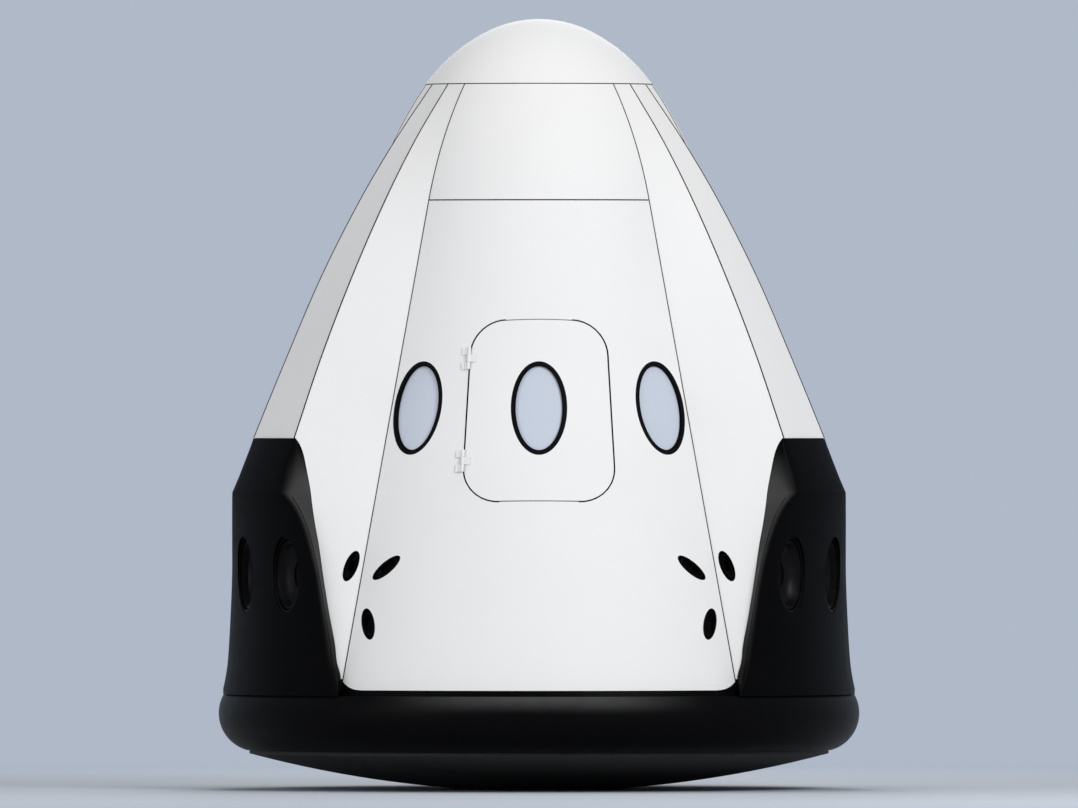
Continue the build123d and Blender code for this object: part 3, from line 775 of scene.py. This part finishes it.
def hatchFlat(grow):
    tall = (hatch["topZ"] - hatch["lowZ"]) / 2 / coneOut + grow
    low, top = hatch["lowHalf"] + grow, hatch["topHalf"] + grow
    radius = hatch["corner"] + grow
    outline = [Vector((low, -tall)), Vector((top, tall)), Vector((-top, tall)), Vector((-low, -tall))]
    points = []
    for i, point in enumerate(outline):
        back = (outline[i - 1] - point).normalized()
        ahead = (outline[(i + 1) % 4] - point).normalized()
        half = back.angle(ahead) / 2
        reach = radius / math.tan(half)
        centre = point + (back + ahead).normalized() * radius / math.sin(half)
        start, end = point + back * reach - centre, point + ahead * reach - centre
        for t in steps(0, 1, hatch["cornerSteps"]):
            points.append(centre + (start * (1 - t) + end * t).normalized() * radius)
    return points


# each point slides along the hatch's draft until it lies on the skin
def hatchLoop(grow, inset):
    loop = []
    for i in range(len(hatchFlat(0))):
        level = 0.0
        for again in range(hatch["rounds"]):
            flat = hatchFlat(grow + (level + hatchDrop) * hatch["draft"])[i]
            point = hatchMiddle + Vector((1, 0, 0)) * flat.x + hatchUp * flat.y
            for slide in range(hatch["slides"]):
                off = math.hypot(point.x, point.y) - skinRadius(point.z, inset)
                out = max(-point.y, hatch["leastOut"])
                point = point - hatchOut * off / coneOut * hatchR / out * hatch["ease"]
            level = (point - hatchMiddle).dot(hatchOut)
        loop.append(point)
    return loop


def hatchStrip(grow, inset, wide, lift, deep):
    loop = hatchLoop(grow, inset)
    return strip(loop, [normalAt(p) for p in loop], wide, lift, deep, True)


gapSeal = hatchStrip(hatch["gap"] / 2, hatch["sealInset"], hatch["sealWide"], 0.0, hatch["sealDeep"])
edgeGrow = hatch["gap"] + hatch["edgeOff"]
edgeSeal = hatchStrip(edgeGrow, 0.0, hatch["edgeWide"], seal["lift"], seal["deep"])
addPiece("hatch_seal", joinShapes([gapSeal, edgeSeal]), "seal_black", "capsule")
print("seals made")

# black gussets round off the white panels' lower corners, on the wall and up the fairing's flank
gusset = dict(
    radius=0.160, start=0.122, tall=0.050, topZ=0.700, lift=0.0014, deep=0.004, lean=0.777,
    inside=0.1, lap=0.004,
)


def wallGusset(angle, side):
    rings = []
    for t in steps(0.0, gusset["tall"], 14):
        z = skin["baseZ"] + t
        s = gusset["start"] - math.sqrt(gusset["radius"] ** 2 - (gusset["radius"] - t) ** 2)
        inner = angle + side * (skin["podHalf"] - gusset["inside"])
        outer = angle + side * (skin["podHalf"] + math.degrees(s / gusset["lean"] / skinRadius(z)))
        outline = [(a, gusset["lift"]) for a in steps(inner, outer, 5)]
        outline += [(a, -gusset["deep"]) for a in steps(outer, inner, 5)]
        rings.append([onSkin(a, z, lift) for a, lift in outline])
    return sweepRings(rings)


def flankGusset(angle, side):
    rings = []
    for z in steps(skin["baseZ"], gusset["topZ"], 8):
        foot, edge = flank(z, podShare(z) + gusset["lap"])
        along = (edge - foot).normalized()
        out = Vector((-along.y, along.x)) if along.x > 0 else Vector((along.y, -along.x))
        top, low = out * gusset["lift"], out * gusset["deep"]
        ring = [foot + top, edge + top, edge - low, foot - low]
        rings.append([Vector((p.x, side * p.y, z)) for p in ring])
    return turnedShape(angle, sweepRings(rings))


shapes = []
for make in (wallGusset, flankGusset):
    shapes += [make(angle, side) for angle in corners.values() for side in bothSides]
addPiece("foot_gussets", joinShapes(shapes), "pod_black", "capsule")
print("gussets made")

# docking ring: bolts, latches and two seals; and the tunnel hatch's wheel and seal below it
docking = dict(
    # how many, circle, height, head radius, head height
    bolts=[
        (36, 0.480, 4.560, 0.0055, 0.006),
        (24, 0.330, 4.386, 0.007, 0.006),
        (24, 0.600, 4.400, 0.009, 0.008),
    ],
    latches=12, latchR=0.477, latchZ=4.505, latchHalves=(0.009, 0.026, 0.028),
    wheelR=0.250, wheelZ=4.398, wheelThick=0.008, spokes=3, spokeR=0.007, spokeInR=0.030, spokeInZ=4.400,
    lidZ=4.386, postR=0.011, postTall=0.016, hubR=0.045, hubTall=0.022,
    # circle, height, thickness
    seals=[(0.4475, 4.561, 0.0035), (0.4625, 4.561, 0.0035), (0.370, 4.386, 0.004)],
)
upward = Vector((0, 0, 1))
shapes = []
for count, circle, z, radius, tall in docking["bolts"]:
    shapes += [boltShape(spoke(turn, circle, z), upward, radius, tall) for turn in turnsOf(count)]
for turn in turnsOf(docking["latches"]):
    axes = (spoke(turn, 1, 0), spoke(turn + math.pi / 2, 1, 0), upward)
    middle = spoke(turn, docking["latchR"], docking["latchZ"])
    shapes.append(blockShape(middle, axes, docking["latchHalves"]))
shapes.append(ringShape(roundSection(docking["wheelR"], docking["wheelZ"], docking["wheelThick"])))
for turn in turnsOf(docking["spokes"]):
    outEnd = spoke(turn, docking["wheelR"], docking["wheelZ"])
    inEnd = spoke(turn, docking["spokeInR"], docking["spokeInZ"])
    shapes.append(bead([outEnd, inEnd], docking["spokeR"], 10))
    post = spoke(turn, docking["wheelR"], docking["lidZ"])
    shapes.append(boltShape(post, upward, docking["postR"], docking["postTall"], 12))
lidMiddle = Vector((0, 0, docking["lidZ"]))
shapes.append(boltShape(lidMiddle, upward, docking["hubR"], docking["hubTall"], 24))
addPiece("docking_fittings", joinShapes(shapes), "docking_metal", "capsule")
shapes = [ringShape(roundSection(*row)) for row in docking["seals"]]
addPiece("docking_seals", joinShapes(shapes), "seal_black", "capsule")

# nose cap inside: ribs round a hub, and a seal at the edge
nose = dict(
    topZ=4.812, crownR=0.720, thick=0.045, ribs=8, ribDeep=0.022, ribSink=0.003, ribHalf=0.006,
    ribStart=6, ribEnd=33, hubZ=4.775, hubR=0.085, hubTall=0.030,
)


def ribShape(turn):
    rings = []
    across = spoke(turn + math.pi / 2, nose["ribHalf"], 0)
    centreZ = nose["topZ"] - nose["crownR"]
    for lean in steps(nose["ribStart"], nose["ribEnd"], 12):
        angle = math.radians(lean)
        points = []
        for inset in (-nose["ribSink"], nose["ribDeep"]):
            r = nose["crownR"] - nose["thick"] - inset
            points.append(spoke(turn, r * math.sin(angle), centreZ + r * math.cos(angle)))
        rings.append([points[0] - across, points[0] + across, points[1] + across, points[1] - across])
    return sweepRings(rings)


shapes = [ribShape(turn) for turn in turnsOf(nose["ribs"])]
shapes.append(boltShape(Vector((0, 0, nose["hubZ"])), -upward, nose["hubR"], nose["hubTall"], 32))
addPiece("nose_ribs", joinShapes(shapes), "skin_white", "nose")
noseEdgeSeal = dict(inR=0.672, outR=0.684, lowZ=4.4035, topZ=4.4065)
addPiece("nose_edge_seal", ringShape(squareSection(**noseEdgeSeal)), "seal_black", "nose")
print("docking end made")

# hatch inside: a stiffening frame and a grab bar
hatchFrame = dict(inward=0.065, wide=0.032, tall=0.014, sink=0.004)
frameLoop = hatchLoop(-hatchFrame["inward"], skin["wall"])
frameNormals = [-normalAt(p) for p in frameLoop]
frameSizes = [hatchFrame[size] for size in ("wide", "tall", "sink")]
addPiece("hatch_inner_frame", strip(frameLoop, frameNormals, *frameSizes, True), "hinge_white", "hatch")

grabBar = dict(
    radius=0.011,
    # sideways, height, distance from the hatch's inner face
    path=[
        (0.29, 2.02, -0.004), (0.29, 2.02, 0.030), (0.27, 2.04, 0.045),
        (0.25, 2.22, 0.045), (0.25, 2.24, 0.030), (0.25, 2.24, -0.004),
    ],
)


def insideHatch(x, z, deep):
    return onSkin(math.degrees(math.asin(x / skinRadius(z))), z, -skin["wall"] - deep)


barShape = bead([insideHatch(*row) for row in grabBar["path"]], grabBar["radius"], 12)
addPiece("hatch_grab_bar", barShape, "docking_metal", "hatch")

# windows: a soft seal on each pane, just inside the ring, and small dark screws in the ring
window = dict(
    z=2.381, side=32.6, paneWide=0.150, paneTall=0.265, screws=28, screwR=0.0042, screwTall=0.0010,
    screwsWide=0.1625, screwsTall=0.2775,
    # seal's section: growth of the pane's oval, depth under the skin
    gasket=((-0.0035, 0.002), (-0.0050, 0.004), (-0.0050, 0.019), (0.001, 0.019), (0.001, 0.002)),
)


def onOval(angle, turn, wide, tall, inset=0.0):
    x = wide * math.cos(turn)
    z = window["z"] + tall * math.sin(turn)
    flat = Vector((x, -math.sqrt(skinRadius(z, inset) ** 2 - x**2), z))
    return Matrix.Rotation(math.radians(angle), 3, "Z") @ flat


def windowGasket(angle):
    rings = []
    for t in turnsOf(72):
        ring = []
        for grow, inset in window["gasket"]:
            ring.append(onOval(angle, t, window["paneWide"] + grow, window["paneTall"] + grow, inset))
        rings.append(ring)
    return sweepRings(rings, True)


def windowScrews(angle):
    shapes = []
    for t in turnsOf(window["screws"]):
        foot = onOval(angle, t, window["screwsWide"], window["screwsTall"])
        shapes.append(boltShape(foot, normalAt(foot), window["screwR"], window["screwTall"], 10))
    return joinShapes(shapes)


sideAngles = (-window["side"], window["side"])
addPiece("window_gaskets", joinShapes([windowGasket(a) for a in sideAngles]), "seal_black", "capsule")
addPiece("hatch_window_gasket", windowGasket(0), "seal_black", "hatch")
addPiece("window_screws", joinShapes([windowScrews(a) for a in sideAngles]), "nozzle_metal", "capsule")
addPiece("hatch_window_screws", windowScrews(0), "nozzle_metal", "hatch")
print("hatch fittings made")

# seats: three soft pads on each shell
seat = dict(
    count=4, pitch=0.450, sharp=50.0, lift=0.35, sideSwell=0.08, sideRound=0.4, topRound=0.6,
    endFall=5, endRound=0.4, endLeast=0.02,
    # side-view line from and to (behind the middle, height), thickness, width
    pads=dict(
        base=((-0.400, 1.300), (-0.070, 1.258), 0.060, 0.350),
        back=((0.075, 1.350), (0.238, 1.800), 0.055, 0.350),
        head=((0.250, 1.825), (0.293, 1.945), 0.050, 0.210),
    ),
)
seatPlaces = [(number - (seat["count"] - 1) / 2) * seat["pitch"] for number in range(seat["count"])]


# a pad's line: start, end, the way it runs and the way the pad faces
def padLine(name):
    start, end = seat["pads"][name][:2]
    low, high = Vector((0, *start)), Vector((0, *end))
    along = (high - low).normalized()
    return low, high, along, Vector((0, -along.z, along.y))


def powered(value, power):
    return math.copysign(abs(value) ** power, value)


def padShape(name, x):
    low, high, along, out = padLine(name)
    thick, wide = seat["pads"][name][2:]
    length = (high - low).length
    rings = []
    for t in steps(-1, 1, 16):
        swell = max(1 - abs(t) ** seat["endFall"], seat["endLeast"]) ** seat["endRound"]
        centre = low + along * length * (t + 1) / 2 + Vector((x, 0, 0)) + out * thick * seat["lift"]
        half = wide / 2 * (1 - seat["sideSwell"] + seat["sideSwell"] * swell)
        ring = []
        for turn in turnsOf(28):
            across = powered(math.cos(turn), seat["sideRound"]) * half
            rise = powered(math.sin(turn), seat["topRound"]) * thick / 2 * swell
            ring.append(centre + Vector((across, 0, 0)) + out * rise)
        rings.append(ring)
    return sweepRings(rings)


for number, x in enumerate(seatPlaces):
    for name in seat["pads"]:
        padName = f"seat_{number + 1}_{name}_pad"
        pad = addPiece(padName, padShape(name, x), "pad_cloth", "capsule", seat["sharp"])

# harness: two shoulder straps down each back pad, a lap strap and a round buckle
harness = dict(
    wide=0.045, thick=0.0025, side=0.075, lift=0.047, bendShare=0.62, sharp=60.0,
    buckleShare=0.30, buckleLift=0.004, buckleSink=0.003, buckleR=0.030, buckleTall=0.016,
    # lap strap: share of the back pad's length, sideways, above the pad's line
    lap=[
        (0.30, 0.02, 0.050), (0.27, 0.07, 0.049), (0.24, 0.12, 0.048),
        (0.21, 0.172, 0.045), (0.20, 0.184, 0.0),
    ],
)
backLow, backHigh, backUp, backOut = padLine("back")


def onBack(share, lift, x):
    return backLow + (backHigh - backLow) * share + backOut * lift + Vector((x, 0, 0))


def strapShape(points, across):
    rings = []
    for i, point in enumerate(points):
        along = points[min(i + 1, len(points) - 1)] - points[max(i - 1, 0)]
        out = across.cross(along).normalized() * harness["thick"] / 2
        half = across * harness["wide"] / 2
        rings.append([point - half - out, point + half - out, point + half + out, point - half + out])
    return sweepRings(rings)


shapes = []
buckles = []
for x in seatPlaces:
    buckle = onBack(harness["buckleShare"], harness["lift"] + harness["buckleLift"], x)
    for side in bothSides:
        shoulderX = x + side * harness["side"]
        shares = steps(1.0, harness["bendShare"], 6)
        path = [onBack(share, harness["lift"], shoulderX) for share in shares]
        path += [path[-1].lerp(buckle, t) for t in steps(0.2, 0.9, 8)]
        shapes.append(strapShape(path, Vector((1, 0, 0))))
        lap = [onBack(share, lift, x + side * reach) for share, reach, lift in harness["lap"]]
        shapes.append(strapShape(lap, backUp))
    foot = buckle - backOut * harness["buckleSink"]
    buckles.append(boltShape(foot, backOut, harness["buckleR"], harness["buckleTall"], 24))
addPiece("seat_harness", joinShapes(shapes), "strap_web", "capsule", harness["sharp"])
addPiece("harness_buckles", joinShapes(buckles), "docking_metal", "capsule")
print("seats made")

# stage, lamps and camera
studio = dict(
    pixel=0.00625, wide=1078, lens=1000.0, sensor=36.0, middleZ=2.406, aimZ=2.2,
    backdrop=(0.43, 0.485, 0.575), worldLight=0.42,
    floor=(0.50, 0.54, 0.60), floorDark=0.985, floorPatch=0.4, floorRough=0.9, floorShine=0.1,
    floorReach=60.0, fadeStart=3.5, fadeEnd=15.0,
    # name, place, size, watts
    lamps=[
        ("keyLamp", (7.0, -12.0, 8.0), 6.0, 1150.0),
        ("fillLamp", (-9.0, -9.0, 4.0), 7.0, 340.0),
        ("topLamp", (0.0, 1.0, 12.0), 6.0, 200.0),
        ("backLamp", (0.0, 12.0, 9.0), 6.0, 540.0),
        ("cabinLamp", (0.0, 0.0, 3.3), 0.5, 10.0),
    ],
)


# a pale floor that fades into the backdrop
def makeFloor():
    mesh = bpy.data.meshes.new("studioFloor")
    disc = bmesh.new()
    bmesh.ops.create_circle(disc, cap_ends=True, segments=96, radius=studio["floorReach"])
    disc.to_mesh(mesh)
    disc.free()
    mat, tree, shader, where = newFinish("floorPale", studio["floorRough"])
    dark = scaled(studio["floor"], studio["floorDark"])
    tone = addPatches(tree, where, studio["floorPatch"], 2.0, dark, studio["floor"])
    tree.links.new(tone, shader.inputs["Base Color"])
    shader.inputs["Specular IOR Level"].default_value = studio["floorShine"]
    reach = tree.nodes.new("ShaderNodeVectorMath")
    reach.operation = "LENGTH"
    tree.links.new(where, reach.inputs[0])
    fade = softStep(tree, reach.outputs["Value"], studio["fadeStart"], studio["fadeEnd"])
    clear = tree.nodes.new("ShaderNodeBsdfTransparent")
    blend = tree.nodes.new("ShaderNodeMixShader")
    tree.links.new(fade, blend.inputs["Fac"])
    tree.links.new(shader.outputs["BSDF"], blend.inputs[1])
    tree.links.new(clear.outputs["BSDF"], blend.inputs[2])
    tree.links.new(blend.outputs["Shader"], tree.nodes["Material Output"].inputs["Surface"])
    mesh.materials.append(mat)
    floor = bpy.data.objects.new("studioFloor", mesh)
    bpy.context.scene.collection.objects.link(floor)


# white light on the object, and the backdrop's colour wherever it is seen or mirrored
def makeWorld():
    world = bpy.data.worlds.new("studioAir")
    bpy.context.scene.world = world
    world.use_nodes = True
    tree = world.node_tree
    light = tree.nodes["Background"]
    light.inputs["Color"].default_value = (1.0, 1.0, 1.0, 1.0)
    light.inputs["Strength"].default_value = studio["worldLight"]
    seen = tree.nodes.new("ShaderNodeBackground")
    seen.inputs["Color"].default_value = (*studio["backdrop"], 1.0)
    path = tree.nodes.new("ShaderNodeLightPath")
    blend = tree.nodes.new("ShaderNodeMixShader")
    shown = path.outputs["Is Camera Ray"]
    for ray in ("Is Glossy Ray", "Is Transmission Ray"):
        shown = addMath(tree, "MAXIMUM", shown, path.outputs[ray])
    tree.links.new(shown, blend.inputs["Fac"])
    tree.links.new(light.outputs["Background"], blend.inputs[1])
    tree.links.new(seen.outputs["Background"], blend.inputs[2])
    tree.links.new(blend.outputs["Shader"], tree.nodes["World Output"].inputs["Surface"])


def makeLamps():
    for name, place, size, watts in studio["lamps"]:
        lamp = bpy.data.lights.new(name, "AREA")
        lamp.size = size
        lamp.energy = watts
        holder = bpy.data.objects.new(name, lamp)
        holder.location = place
        aim = Vector((0, 0, studio["aimZ"])) - Vector(place)
        holder.rotation_euler = aim.to_track_quat("-Z", "Y").to_euler()
        bpy.context.scene.collection.objects.link(holder)


def makeCamera():
    camera = bpy.data.cameras.new("frontCamera")
    camera.lens = studio["lens"]
    camera.sensor_width = studio["sensor"]
    away = studio["pixel"] * studio["wide"] * studio["lens"] / studio["sensor"]
    camera.clip_end = 4 * away
    holder = bpy.data.objects.new("frontCamera", camera)
    holder.location = (0.0, -away, studio["middleZ"])
    holder.rotation_euler = (math.radians(90), 0.0, 0.0)
    bpy.context.scene.collection.objects.link(holder)
    bpy.context.scene.camera = holder


makeFloor()
makeWorld()
makeLamps()
makeCamera()
bpy.context.scene.view_settings.view_transform = "Standard"
print("stage set")
